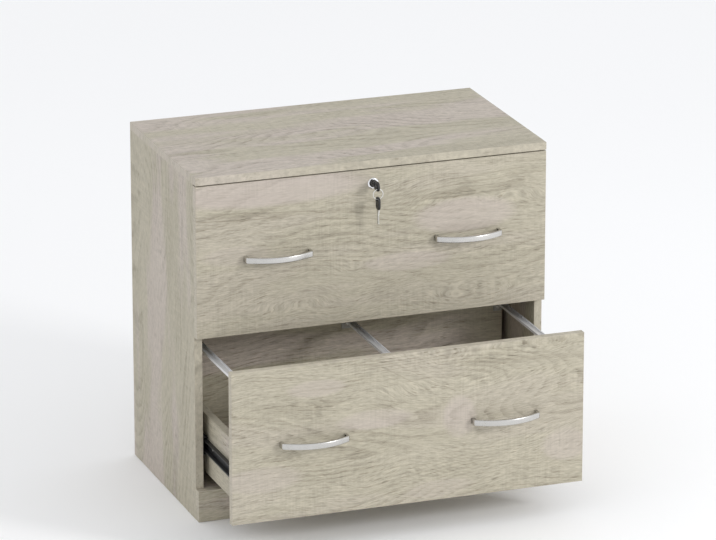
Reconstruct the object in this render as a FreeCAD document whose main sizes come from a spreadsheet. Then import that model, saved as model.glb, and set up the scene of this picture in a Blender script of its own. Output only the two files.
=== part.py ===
import FreeCAD, Part
import Sketcher
import math
import os
import re
from FreeCAD import Rotation, Vector

# A two-drawer lateral filing cabinet, with the lower drawer pulled out.
# X runs from left to right, Y from front to back and Z up from the floor.
# The origin is on the floor, in the middle of the plinth board's lower edge.
# Below, a piece's own y is counted from the plane of the front faces.
doc = FreeCAD.newDocument("filing_cabinet")

SIZES = {
    # The case
    "width": 700,
    "depth": 400,
    "height": 679,
    "board": 15,
    "plinth_height": 62,
    "end_gap": 2.5,
    "middle_gap": 3,
    "back_thick": 3,
    "back_inset": 10,
    "groove_depth": 6,
    "groove_play": 0.3,
    "rear_rail_height": 80,
    "banding_ease": 0.6,
    # How far each drawer is pulled out
    "upper_open": 0,
    "lower_open": 199.2,
    # The drawer boxes
    "box_rear_gap": 6.7,
    "box_lift": 20.5,
    "side_height": 117,
    "back_top_gap": 31.5,
    "box_cam_drop": 28,
    "bottom_thick": 3,
    "bottom_lift": 6,
    # The slides, one on each side of a drawer
    "slide_space": 12.7,
    "slide_setback": 2,
    "slide_rear_gap": 33,
    "slide_lift": 81,
    "steel": 1.2,
    "outer_height": 35,
    "outer_reach": 10.35,
    "outer_lip": 3.5,
    "inner_height": 21,
    "inner_lip": 1,
    "inner_stand_off": 2.8,
    "slide_bend": 0.8,
    "ball_radius": 2.7,
    "ball_play": 0.2,
    "cage_length": 86,
    "cage_thick": 0.8,
    "cage_play": 0.4,
    "ball_pitch": 22,
    "slide_screw_inset": 26,
    # The rails that carry the hanging files
    "rail_width": 14.5,
    "rail_height": 5,
    "rail_web": 2,
    "rail_rib": 1.5,
    "rail_drop": 12,
    "rail_play": 0.3,
    "bracket_wall": 1.5,
    "bracket_plate": 2.5,
    "bracket_depth": 12,
    "bracket_floor": 2,
    "bracket_drop": 16,
    "bracket_cheek": 3.5,
    # The bow handles
    "handle_inset": 93,
    "handle_length": 134,
    "handle_height": 12,
    "handle_reach": 34,
    "handle_end": 14.5,
    "handle_bar": 4,
    "handle_foot": 6.5,
    "handle_throat": 13.5,
    "handle_cheek": 12.5,
    "handle_crease": 20.5,
    "handle_screw_grip": 9,
    # The cam lock in the upper front
    "lock_drop": 27.5,
    "lock_radius": 8,
    "lock_length": 21.4,
    "bezel_radius": 11,
    "bezel_thick": 2.5,
    "bezel_ease": 0.8,
    "nut_flats": 20,
    "nut_thick": 4,
    "plug_radius": 6.1,
    "plug_collar": 7.2,
    "plug_collar_thick": 1.5,
    "plug_tail": 6,
    "cam_thick": 2,
    "cam_width": 16,
    "cam_length": 27,
    "cam_screw_head": 5,
    "cam_screw_rise": 2,
    "cam_screw_radius": 1.75,
    "cam_screw_length": 4,
    "keyway_play": 0.2,
    # The keys and their ring
    "bow_height": 18,
    "bow_length": 24.5,
    "bow_thick": 4,
    "bow_round": 8,
    "bow_rim": 3,
    "bow_end_rim": 3,
    "bow_slot": 5,
    "blade_height": 8,
    "blade_thick": 2,
    "blade_length": 21.8,
    "shoulder_length": 6.5,
    "key_play": 0.1,
    "ring_inner": 9,
    "ring_wire": 0.8,
    "ring_hang": 6.3,
    "spare_gap": 0.5,
    # The strike that the lock's cam turns up behind
    "strike_thick": 1.5,
    "strike_width": 44,
    "strike_drop": 16,
    "strike_foot": 24,
    "strike_gap": 1.5,
    "strike_screw_spread": 15,
    # Screws, dowels and cam fittings
    "play": 0.1,
    "screw_head": 3.4,
    "screw_head_depth": 2,
    "screw_radius": 1.75,
    "screw_length": 14,
    "bolt_head": 3.9,
    "bolt_head_rise": 2.4,
    "bolt_radius": 2,
    "dowel_radius": 4,
    "dowel_length": 30,
    "dowel_grip": 11,
    "disc_radius": 7.5,
    "disc_depth": 12.5,
    "disc_inset": 24,
    "pin_radius": 3,
    "pin_grip": 11,
    "pin_stop": 2,
    "cam_front_inset": 60,
    "cam_rear_inset": 70,
    "dowel_front_inset": 100,
    "dowel_rear_inset": 110,
    "plinth_cam_from_middle": 200,
    "plinth_dowel_height": 22,
}

sheet = doc.addObject("Spreadsheet::Sheet", "Sizes")
for row, (name, size) in enumerate(SIZES.items(), start=1):
    sheet.set("A%d" % row, name)
    sheet.set("B%d" % row, str(size))
    sheet.setAlias("B%d" % row, name)
doc.recompute()

# Shapes given as shares of the piece's own sizes
BALL_FLAT_SHARE = 0.82
BALL_BEVEL_SHARE = 0.49
STRIKE_SCREW_SHARE = 0.6
BALL_WRAP_SHARE = 0.85
BLADE_TIP_SHARE = 0.33
CAM_CORNER_SHARE = 0.25

# Lengths that several pieces share, worked out from the sizes
BOX_HALF = "(width / 2 - board - slide_space)"
FRONT_HEIGHT = "((height - board - plinth_height - 2 * end_gap - middle_gap) / 2)"
LOWER_LIFT = "(plinth_height + end_gap)"
UPPER_LIFT = "(plinth_height + end_gap + middle_gap + %s)" % FRONT_HEIGHT
BACK_FACE = "(depth - back_inset - back_thick)"
RAIL_REAR = "(%s - groove_play)" % BACK_FACE
BOX_BACK = "(%s - board - box_rear_gap)" % RAIL_REAR
BOX_TOP = "(%s - back_top_gap)" % FRONT_HEIGHT
RAIL_LIFT = "(%s - rail_drop)" % BOX_TOP
SLIDE_START = "(board + slide_setback)"
SLIDE_LENGTH = "(depth - slide_rear_gap - %s)" % SLIDE_START
LOCK_LIFT = "(%s - lock_drop)" % FRONT_HEIGHT
KEY_SEAT = "(-bezel_thick - key_play)"
SLOT_MIDDLE = "(shoulder_length + bow_length - bow_end_rim - bow_slot / 2)"
RIM_DROP = "(bow_height / 2 - bow_rim / 2)"

PLANES = {"x": "YZ_Plane", "y": "XZ_Plane", "z": "XY_Plane"}
TURNS = {
    "+x": Rotation(Vector(0, 0, 1), Vector(1, 0, 0)),
    "-x": Rotation(Vector(0, 0, 1), Vector(-1, 0, 0)),
    "+y": Rotation(Vector(0, 0, 1), Vector(0, 1, 0)),
    "-y": Rotation(Vector(0, 0, 1), Vector(0, -1, 0)),
    "+z": Rotation(),
    "-z": Rotation(Vector(1, 0, 0), 180),
    "round": Rotation(Vector(0, 0, 1), 180),
    "down": Rotation(Vector(1, 0, 0), -90),
}
parts = []


def bound(text):
    """Point every size named in an expression at its cell."""
    return re.sub(r"[a-z][a-z_]*", lambda word: "Sizes." + word[0] if word[0] in SIZES else word[0], text)


def value(text):
    return float(sheet.evalExpression(bound(text)))


def tie(item, setting, text):
    item.setExpression(setting, bound(text))


def new_body(name):
    return doc.addObject("PartDesign::Body", name + "_form")


def draw(body, across, at="0"):
    """An empty sketch square to an axis of the body, at a distance along it."""
    sketch = body.newObject("Sketcher::SketchObject", "Sketch")
    plane = [item for item in body.Origin.OriginFeatures if item.Role == PLANES[across]][0]
    sketch.AttachmentSupport = (plane, [""])
    sketch.MapMode = "FlatFace"
    tie(sketch, "AttachmentOffset.Base.z", "-(%s)" % at if across == "y" else at)
    return sketch


def hold(sketch, kind, text, *places):
    number = sketch.addConstraint(Sketcher.Constraint(kind, *places, value(text)))
    tie(sketch, "Constraints[%d]" % number, text)


def outline(sketch, points):
    """A closed outline. A third entry is the radius of a left turning arc to the next point."""
    first = sketch.GeometryCount
    spots = [Vector(value(point[0]), value(point[1]), 0) for point in points]
    ends = []
    for number, point in enumerate(points):
        start = spots[number]
        end = spots[(number + 1) % len(spots)]
        if len(point) == 2:
            edge = Part.LineSegment(start, end)
        else:
            radius = value(point[2])
            chord = end - start
            side = Vector(chord.y, -chord.x, 0).normalize()
            rise = abs(radius) - math.sqrt(radius * radius - chord.Length * chord.Length / 4)
            edge = Part.Arc(start, (start + end) / 2 + side * math.copysign(rise, radius), end)
        geometry = sketch.addGeometry(edge, False)
        away = [(sketch.getPoint(geometry, end) - start).Length for end in (1, 2)]
        ends.append((1, 2) if away[0] < away[1] else (2, 1))
        if len(point) == 3:
            hold(sketch, "Radius", "abs(%s)" % point[2], geometry)
    for number, point in enumerate(points):
        before = (number - 1) % len(points)
        corner = (first + number, ends[number][0])
        sketch.addConstraint(Sketcher.Constraint("Coincident", first + before, ends[before][1], *corner))
        hold(sketch, "DistanceX", point[0], -1, 1, *corner)
        hold(sketch, "DistanceY", point[1], -1, 1, *corner)
    return sketch


def pad(body, sketch, across, length):
    """Thicken an outline towards the plus side of the axis."""
    feature = body.newObject("PartDesign::Pad", "Pad")
    feature.Profile = sketch
    feature.Reversed = across == "y"
    tie(feature, "Length", length)
    return feature


def pocket(body, sketch, across, length):
    """Cut an outline away towards the plus side of the axis."""
    feature = body.newObject("PartDesign::Pocket", "Pocket")
    feature.Profile = sketch
    feature.Reversed = across != "y"
    tie(feature, "Length", length)
    return feature


def span(body, across, x, y, z, work=pad):
    """A rectangular block, or a cut of that shape, between pairs of low and high places."""
    sides = {"x": x, "y": y, "z": z}
    near, far = [sides[axis] for axis in "xyz" if axis != across]
    corners = [(near[0], far[0]), (near[1], far[0]), (near[1], far[1]), (near[0], far[1])]
    low, high = sides[across]
    return work(body, outline(draw(body, across, low), corners), across, "(%s) - (%s)" % (high, low))


def round_corner(across, up, radius, start):
    """Outline points round a quarter circle, anticlockwise from an angle."""
    return [
        ("%s + %s * cos(%d)" % (across, radius, angle), "%s + %s * sin(%d)" % (up, radius, angle))
        for angle in (start, start + 45, start + 90)
    ]


def joined(name, items):
    """One solid from several that meet."""
    whole = doc.addObject("Part::MultiFuse", name)
    whole.Shapes = items
    return whole


def faceted(name, rings, sides=6, clear=False):
    """A solid with flat sides along Z, from (radius, height) rings. A step is two rings at one height.
    The corners lie on the circles, or, where something round must pass, the flats do."""
    across = "(%%s) / cos(180 / %d)" % sides if clear else "%s"
    lengths = [[]]
    for number, (radius, height) in enumerate(rings):
        if number and height == rings[number - 1][1]:
            lengths.append([])
        section = doc.addObject("Part::RegularPolygon", name + "_section")
        section.Polygon = sides
        tie(section, "Circumradius", across % radius)
        tie(section, "Placement.Base.z", height)
        lengths[-1].append(section)
    solids = []
    for sections in lengths:
        solid = doc.addObject("Part::Loft", name + "_length")
        solid.Sections = sections
        solid.Solid = True
        solid.Ruled = True
        solids.append(solid)
    return joined(name + "_form", solids) if len(solids) > 1 else solids[0]


def place(item, x="0", y="0", z="0", turn="+z"):
    item.Placement = FreeCAD.Placement(Vector(0, 0, 0), TURNS[turn])
    for axis, text in (("x", x), ("y", y), ("z", z)):
        tie(item, "Placement.Base." + axis, text)


def copies(name, master, places):
    """Separate copies of one master, each at (x, y, z) and pointing along an axis."""
    links = []
    for x, y, z, turn in places:
        link = doc.addObject("App::Link", name + "_copy")
        link.LinkedObject = master
        place(link, x, y, z, turn)
        links.append(link)
    group = doc.addObject("Part::Compound", name)
    group.Links = links
    return group


def drill(item, *tools):
    """Cut each group of holes out of a piece."""
    for tool in tools:
        cut = doc.addObject("Part::Cut", "Drilled")
        cut.Base = item
        cut.Tool = tool
        item = cut
    return item


def keep(label, item, lift="0", out="0", turn="+z"):
    """Name a finished piece and stand it in the cabinet."""
    item.Label = label
    place(item, "0", "-board / 2 - (%s)" % out, lift, turn)
    parts.append(item)
    return item


def ease(body, feature, width, chosen):
    """Bevel the edges of the last feature that the test picks."""
    doc.recompute()
    names = ["Edge%d" % (n + 1) for n, edge in enumerate(feature.Shape.Edges) if chosen(edge)]
    bevel = body.newObject("PartDesign::Chamfer", "Chamfer")
    bevel.Base = (feature, names)
    tie(bevel, "Size", width)
    return bevel


def runs_along(edge, axis):
    """True for a straight edge that lies along the axis."""
    if not isinstance(edge.Curve, Part.Line):
        return False
    return abs(getattr(edge.tangentAt(edge.FirstParameter), axis)) > 0.999


# Screws, dowels and cam fittings, each with the hole that it needs. They point along +Z.
screw = faceted("screw", [
    ("screw_head", "0"),
    ("screw_radius", "screw_head_depth"),
    ("screw_radius", "screw_length"),
])
screw_hole = faceted("screw_hole", [
    ("screw_head + 2 * play", "-play"),
    ("screw_radius + play", "screw_head_depth"),
    ("screw_radius + play", "screw_length + play"),
])
plate_screw = faceted("plate_screw", [
    ("screw_head", "-screw_head_depth"),
    ("screw_head", "0"),
    ("screw_radius", "0"),
    ("screw_radius", "screw_length"),
])
plate_hole = faceted("plate_hole", [
    ("screw_radius + play", "-play"),
    ("screw_radius + play", "screw_length + play"),
])
HANDLE_SCREW_LENGTH = "(board + handle_screw_grip)"
handle_screw = faceted("handle_screw", [
    ("bolt_head", "-bolt_head_rise"),
    ("bolt_head", "0"),
    ("bolt_radius", "0"),
    ("bolt_radius", HANDLE_SCREW_LENGTH),
])
handle_hole = faceted("handle_hole", [
    ("bolt_radius + play", "-play"),
    ("bolt_radius + play", HANDLE_SCREW_LENGTH + " + play"),
])
dowel = faceted("dowel", [
    ("dowel_radius", "-dowel_length / 2"),
    ("dowel_radius", "dowel_length / 2"),
])
dowel_hole = faceted("dowel_hole", [
    ("dowel_radius + play", "-dowel_length / 2 - play"),
    ("dowel_radius + play", "dowel_length / 2 + play"),
])
PIN_REACH = "(disc_inset + pin_grip)"
pin = faceted("cam_pin", [
    ("pin_radius", "pin_stop"),
    ("pin_radius", PIN_REACH),
])
pin_hole = faceted("cam_pin_hole", [
    ("pin_radius + play", "0"),
    ("pin_radius + play", PIN_REACH + " + play"),
])
disc = faceted("cam_disc", [
    ("disc_radius", "0"),
    ("disc_radius", "board / 2 - pin_radius - play"),
    ("pin_stop - play", "board / 2 - pin_radius - play"),
    ("pin_stop - play", "disc_depth"),
])
disc_hole = faceted("cam_disc_hole", [
    ("disc_radius + play", "-play"),
    ("disc_radius + play", "disc_depth + play"),
])

SIGNS = (("left", "-1", "-x", "+x"), ("right", "1", "+x", "-x"))
SIDE_INNER = "(width / 2 - board)"
SIDE_TOP = "(height - board)"


def case_fittings():
    """Places of the cam discs, their pins and the dowels that hold the case together."""
    discs, pins, dowels = [], [], []
    panel_middle = "(plinth_height - board / 2)"
    side_middle = " * (width / 2 - board / 2)"
    rail_middle = "(height - board - rear_rail_height / 2)"
    for side, sign, outward, inward in SIGNS:
        end_place = sign + " * (%s - disc_inset)" % SIDE_INNER
        for y in ("board + cam_front_inset", "depth - cam_rear_inset"):
            discs.append((sign + " * " + SIDE_INNER, y, SIDE_TOP + " - disc_inset", outward))
            pins.append((sign + side_middle, y, SIDE_TOP + " - disc_inset", "+z"))
            discs.append((end_place, y, "plinth_height - board", "+z"))
            pins.append((end_place, y, panel_middle, outward))
        discs.append((end_place, RAIL_REAR, rail_middle, "-y"))
        pins.append((end_place, RAIL_REAR + " - board / 2", rail_middle, outward))
        for y in ("board + dowel_front_inset", "depth - dowel_rear_inset"):
            dowels.append((sign + side_middle, y, SIDE_TOP + " + dowel_grip - dowel_length / 2", "+z"))
        dowel_y = "board - dowel_grip + dowel_length / 2"
        dowels.append((sign + side_middle, dowel_y, "plinth_dowel_height", "+y"))
        plinth_cam = sign + " * plinth_cam_from_middle"
        discs.append((plinth_cam, "board + disc_inset", "plinth_height - board", "+z"))
        pins.append((plinth_cam, "board + disc_inset", panel_middle, "-y"))
    return discs, pins, dowels


def from_side(sign, distance):
    """A place across the cabinet, counted inwards from a side panel's inner face."""
    return "%s * (%s - (%s))" % (sign, SIDE_INNER, distance)


def slide_screw_places(distance, turn_of):
    """Three screws along each slide, at a distance in from the side panels."""
    along = ("slide_screw_inset", SLIDE_LENGTH + " / 2", SLIDE_LENGTH + " - slide_screw_inset")
    return [
        (from_side(sign, distance), "%s + %s" % (SLIDE_START, step), "slide_lift", turn_of[side])
        for side, sign, outward, inward in SIGNS
        for step in along
    ]


OUTWARD = {"left": "-x", "right": "+x"}
INWARD = {"left": "+x", "right": "-x"}

# Cam discs, pins, dowels and screws of the case, and the holes that they need
disc_places, pin_places, dowel_places = case_fittings()
outer_screws = slide_screw_places("steel", OUTWARD)
STRIKE_SCREW_LINE = "board + strike_gap + strike_foot * %s" % STRIKE_SCREW_SHARE
strike_screws = [
    (sign + " * strike_screw_spread", STRIKE_SCREW_LINE, SIDE_TOP + " - strike_thick", "+z")
    for sign in ("-1", "1")
]
rail_screws = [
    (x, y, "%s + %s" % (lift, z), turn)
    for lift in (LOWER_LIFT, UPPER_LIFT)
    for x, y, z, turn in outer_screws
]
disc_holes = copies("disc_holes", disc_hole, disc_places)
pin_holes = copies("pin_holes", pin_hole, pin_places)
dowel_holes = copies("dowel_holes", dowel_hole, dowel_places)
rail_holes = copies("rail_holes", screw_hole, rail_screws)
strike_holes = copies("strike_holes", plate_hole, strike_screws)
fitting_holes = (disc_holes, pin_holes, dowel_holes)

GROOVE = (BACK_FACE + " - groove_play", BACK_FACE + " + back_thick + groove_play")


def band(sign, inner, thickness):
    """The low and high places of a board on one side, from its inner face outwards."""
    middle = "%s * (%s + %s / 2)" % (sign, inner, thickness)
    return ("%s - %s / 2" % (middle, thickness), "%s + %s / 2" % (middle, thickness))


def ease_banding(body, feature, face_axis, place_text):
    """Ease the long edges of the banded face at one place along an axis."""
    at = value(place_text)
    index = "xyz".index(face_axis)

    def chosen(edge):
        return all(abs(vertex.Point[index] - at) < 0.001 for vertex in edge.Vertexes)

    return ease(body, feature, "banding_ease", chosen)


# The top panel lies on the side panels, and takes the back panel in a groove underneath
WHOLE_WIDTH = ("-width / 2", "width / 2")
BETWEEN_SIDES = ("-" + SIDE_INNER, SIDE_INNER)
INTO_GROOVES = ("-(%s + groove_depth)" % SIDE_INNER, SIDE_INNER + " + groove_depth")
top = new_body("top_panel")
panel = span(top, "z", WHOLE_WIDTH, ("0", "depth"), (SIDE_TOP, "height"))
ease_banding(top, panel, "z", "height")
span(top, "z", INTO_GROOVES, GROOVE, (SIDE_TOP, SIDE_TOP + " + groove_depth"), pocket)
keep("top_panel", drill(top, pin_holes, dowel_holes, strike_holes))

for side, sign, outward, inward in SIGNS:
    body = new_body(side + "_side_panel")
    span(body, "x", band(sign, SIDE_INNER, "board"), ("board", "depth"), ("0", SIDE_TOP))
    span(body, "x", band(sign, SIDE_INNER, "groove_depth"), GROOVE, ("0", SIDE_TOP), pocket)
    keep(side + "_side_panel", drill(body, rail_holes, *fitting_holes))

bottom = new_body("bottom_panel")
span(bottom, "z", BETWEEN_SIDES, ("board", RAIL_REAR), ("plinth_height - board", "plinth_height"))
keep("bottom_panel", drill(bottom, disc_holes, pin_holes))

# The plinth board covers the front edges of the side panels
plinth = new_body("plinth_board")
panel = span(plinth, "y", WHOLE_WIDTH, ("0", "board"), ("0", "plinth_height"))
ease_banding(plinth, panel, "y", "0")
keep("plinth_board", drill(plinth, pin_holes, dowel_holes))

back = new_body("back_panel")
BACK_HALF = "(%s + groove_depth - groove_play)" % SIDE_INNER
BACK_TOP = SIDE_TOP + " + groove_depth - groove_play"
span(back, "y", ("-" + BACK_HALF, BACK_HALF), (BACK_FACE, BACK_FACE + " + back_thick"),
     ("plinth_height - board", BACK_TOP))
keep("back_panel", back)

rail = new_body("rear_rail")
span(rail, "y", BETWEEN_SIDES, (RAIL_REAR + " - board", RAIL_REAR),
     (SIDE_TOP + " - rear_rail_height", SIDE_TOP))
keep("rear_rail", drill(rail, disc_holes, pin_holes))

# The strike is an angle under the top panel, with one leg hanging in front of the lock's cam
strike = new_body("lock_strike")
leg = "board + strike_gap"
sketch = outline(draw(strike, "x", "-strike_width / 2"), [
    (leg, SIDE_TOP + " - strike_drop"),
    (leg + " + strike_thick", SIDE_TOP + " - strike_drop"),
    (leg + " + strike_thick", SIDE_TOP + " - strike_thick"),
    (leg + " + strike_foot", SIDE_TOP + " - strike_thick"),
    (leg + " + strike_foot", SIDE_TOP),
    (leg, SIDE_TOP),
])
pad(strike, sketch, "x", "strike_width")
keep("lock_strike", drill(strike, strike_holes))

keep("case_cam_discs", copies("case_cam_discs", disc, disc_places))
keep("case_cam_pins", copies("case_cam_pins", pin, pin_places))
keep("case_dowels", copies("case_dowels", dowel, dowel_places))
case_screws = doc.addObject("Part::Compound", "case_screws")
case_screws.Links = [
    copies("rail_screws", screw, rail_screws),
    copies("strike_screws", plate_screw, strike_screws),
]
keep("case_screws", case_screws)

BALL_IN = "(outer_reach - steel - ball_radius - ball_play)"
BALL_UP = "(outer_height / 2 - steel - ball_radius - ball_play)"
outer_holes = copies("outer_holes", screw_hole, outer_screws)
inner_screws = slide_screw_places("slide_space - steel", INWARD)
ball = new_body("ball")
half_ball = "(ball_radius * %s)" % BALL_FLAT_SHARE
across_ball = ("-" + half_ball, half_ball)
ease(ball, span(ball, "z", across_ball, across_ball, across_ball), "ball_radius * %s" % BALL_BEVEL_SHARE,
     lambda edge: True)


def bend(body, feature, places):
    """Bevel the long outer bends of a rolled steel section at these (across, up) places."""
    corners = [(value(across), value(up)) for across, up in places]

    def chosen(edge):
        if not runs_along(edge, "y"):
            return False
        start = edge.Vertexes[0].Point
        return any(abs(start.x - x) < 0.001 and abs(start.z - z) < 0.001 for x, z in corners)

    return ease(body, feature, "slide_bend", chosen)


def mirrored(sign, section):
    """Points above the slide's middle line, given as (inwards, up), and their mirror images below."""
    upper = [(from_side(sign, across), "slide_lift + (%s)" % up) for across, up in section]
    lower = [(from_side(sign, across), "slide_lift - (%s)" % up) for across, up in reversed(section)]
    return upper + lower


def channel(name, sign, section, bends):
    """A rolled steel slide section, with the given corners of its upper half bent."""
    body = new_body(name)
    feature = pad(body, outline(draw(body, "y", SLIDE_START), mirrored(sign, section)), "y", SLIDE_LENGTH)
    bend(body, feature, mirrored(sign, bends))
    return body


def outer_member(name, sign):
    top = "outer_height / 2"
    return channel(name, sign, [
        ("0", top),
        ("outer_reach", top),
        ("outer_reach", top + " - outer_lip"),
        ("outer_reach - steel", top + " - outer_lip"),
        ("outer_reach - steel", top + " - steel"),
        ("steel", top + " - steel"),
    ], [("0", top), ("outer_reach", top)])


def inner_member(name, sign):
    top = "inner_height / 2"
    return channel(name, sign, [
        ("slide_space - steel", top + " - steel"),
        ("inner_stand_off", top + " - steel"),
        ("inner_stand_off", top + " + inner_lip"),
        ("inner_stand_off + steel", top + " + inner_lip"),
        ("inner_stand_off + steel", top),
        ("slide_space", top),
    ], [("slide_space", top), ("inner_stand_off", top + " - steel")])


def ball_cage(name, sign):
    """A strip that wraps the inner member and holds two rows of balls in line."""
    near = "steel + cage_play"
    tip = "%s + ball_radius * %s" % (BALL_IN, BALL_WRAP_SHARE)
    section = [
        (near, BALL_UP + " + cage_thick / 2"),
        (tip, BALL_UP + " + cage_thick / 2"),
        (tip, BALL_UP + " - cage_thick / 2"),
        (near + " + cage_thick", BALL_UP + " - cage_thick / 2"),
    ]
    start = "%s + (%s - cage_length) / 2" % (SLIDE_START, SLIDE_LENGTH)
    body = new_body(name + "_strip")
    pad(body, outline(draw(body, "y", start), mirrored(sign, section)), "y", "cage_length")
    rows = mirrored(sign, [(BALL_IN, BALL_UP)])
    steps = [start + " + cage_length / 2 + %s * ball_pitch" % step for step in ("-1.5", "-0.5", "0.5", "1.5")]
    balls = [(across, y, up, "+z") for across, up in rows for y in steps]
    return joined(name, [body, copies(name + "_balls", ball, balls)])


# Each rail bracket is a plate with a cup that the rail's end drops into. Its plate's back is at y zero.
bracket = new_body("rail_bracket")
CUP_INNER = "(rail_width / 2 + rail_play)"
CUP_OUTER = "(rail_width / 2 + rail_play + bracket_wall)"
span(bracket, "y", ("-" + CUP_OUTER, CUP_OUTER), ("0", "bracket_plate"),
     ("-bracket_floor - bracket_drop", "bracket_cheek"))
cup = outline(draw(bracket, "y", "bracket_plate"), [
    ("-" + CUP_OUTER, "-bracket_floor"),
    (CUP_OUTER, "-bracket_floor"),
    (CUP_OUTER, "bracket_cheek"),
    (CUP_INNER, "bracket_cheek"),
    (CUP_INNER, "0"),
    ("-" + CUP_INNER, "0"),
    ("-" + CUP_INNER, "bracket_cheek"),
    ("-" + CUP_OUTER, "bracket_cheek"),
])
pad(bracket, cup, "y", "bracket_depth")
BRACKET_SCREW_DROP = "(bracket_floor + bracket_drop / 2)"
bracket_hole = copies("bracket_hole", plate_hole, [("0", "bracket_plate", "-" + BRACKET_SCREW_DROP, "-y")])
bracket = drill(bracket, bracket_hole)

RAIL_SPOT = "(%s - bracket_wall - rail_play - rail_width / 2)" % BOX_HALF
RAIL_SPOTS = (("left", "-" + RAIL_SPOT), ("middle", "0"), ("right", RAIL_SPOT))
BOX_INNER = "(%s - board)" % BOX_HALF
BACK_FRONT = "(%s - board)" % BOX_BACK
BOTTOM_WIDTH = ("-(%s + groove_depth)" % BOX_INNER, BOX_INNER + " + groove_depth")
BOTTOM_GROOVE = ("box_lift + bottom_lift", "box_lift + bottom_lift + bottom_thick + groove_play")
HANDLE_LIFT = "(%s / 2)" % FRONT_HEIGHT
HANDLE_MIDDLE = "(width / 2 - handle_inset - handle_length / 2)"


def drawer_fittings():
    """Places of a drawer's screws, handle screws, cam discs and pins."""
    up = RAIL_LIFT + " - " + BRACKET_SCREW_DROP
    screws, brackets = [], []
    for spot_name, x in RAIL_SPOTS:
        screws.append((x, "board + bracket_plate", up, "-y"))
        screws.append((x, BACK_FRONT + " - bracket_plate", up, "+y"))
        brackets.append((x, "board", RAIL_LIFT, "+z"))
        brackets.append((x, BACK_FRONT, RAIL_LIFT, "round"))
    foot = "%s * " + HANDLE_MIDDLE + " + %s * (handle_length - handle_foot) / 2"
    feet = [(foot % (sign, end), "board", HANDLE_LIFT, "-y") for sign in ("-1", "1") for end in ("-1", "1")]
    discs, pins = [], []
    high = "box_lift + side_height - box_cam_drop"
    for side, sign, outward, inward in SIGNS:
        for y, turn in (("board + disc_inset", "-y"), (BACK_FRONT + " - disc_inset", "+y")):
            discs.append((sign + " * " + BOX_INNER, y, high, outward))
            pins.append((sign + " * (%s - board / 2)" % BOX_HALF, y, high, turn))
    return screws, brackets, feet, discs, pins


screw_spots, bracket_spots, foot_spots, box_discs, box_pins = drawer_fittings()
bracket_holes = copies("bracket_holes", plate_hole, screw_spots)
inner_holes = copies("inner_holes", screw_hole, inner_screws)
foot_holes = copies("foot_holes", handle_hole, foot_spots)
box_disc_holes = copies("box_disc_holes", disc_hole, box_discs)
box_pin_holes = copies("box_pin_holes", pin_hole, box_pins)


# The lock goes through the upper front and its nut
LOCK_SIDES = 16
lock_hole = faceted("lock_hole", [
    ("lock_radius + play", "-play"),
    ("lock_radius + play", "lock_length"),
], LOCK_SIDES)
lock_holes = copies("lock_holes", lock_hole, [("0", "0", LOCK_LIFT, "+y")])


def arc_radius(half, rise):
    return "((%s) * (%s) + (%s) * (%s)) / (2 * (%s))" % (half, half, rise, rise, rise)


def bow_handle(name, sign):
    """A bow pull: a bar that swells outwards, with a flat cheek at each end over its foot."""
    middle = sign + " * " + HANDLE_MIDDLE
    half = "handle_length / 2"
    crease = "handle_length / 2 - handle_cheek"
    inner = "handle_length / 2 - handle_foot"
    body = new_body(name)
    sketch = outline(draw(body, "z", HANDLE_LIFT + " - handle_height / 2"), [
        (middle + " - " + half, "0"),
        (middle + " - " + half, "-handle_end"),
        (middle + " - (" + crease + ")", "-handle_crease",
         arc_radius(crease, "handle_reach - handle_crease")),
        (middle + " + (" + crease + ")", "-handle_crease"),
        (middle + " + " + half, "-handle_end"),
        (middle + " + " + half, "0"),
        (middle + " + (" + inner + ")", "0"),
        (middle + " + (" + inner + ")", "-handle_throat",
         "-" + arc_radius(inner, "handle_reach - handle_bar - handle_throat")),
        (middle + " - (" + inner + ")", "-handle_throat"),
        (middle + " - (" + inner + ")", "0"),
    ])
    pad(body, sketch, "z", "handle_height")
    return drill(body, foot_holes)


def drawer_front(name, with_lock):
    body = new_body(name)
    feature = span(body, "y", WHOLE_WIDTH, ("0", "board"), ("0", FRONT_HEIGHT))
    ease_banding(body, feature, "y", "0")
    span(body, "y", BOTTOM_WIDTH, ("board - groove_depth", "board"), BOTTOM_GROOVE, pocket)
    holes = (foot_holes, bracket_holes, box_pin_holes)
    return drill(body, *holes, lock_holes) if with_lock else drill(body, *holes)


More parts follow.
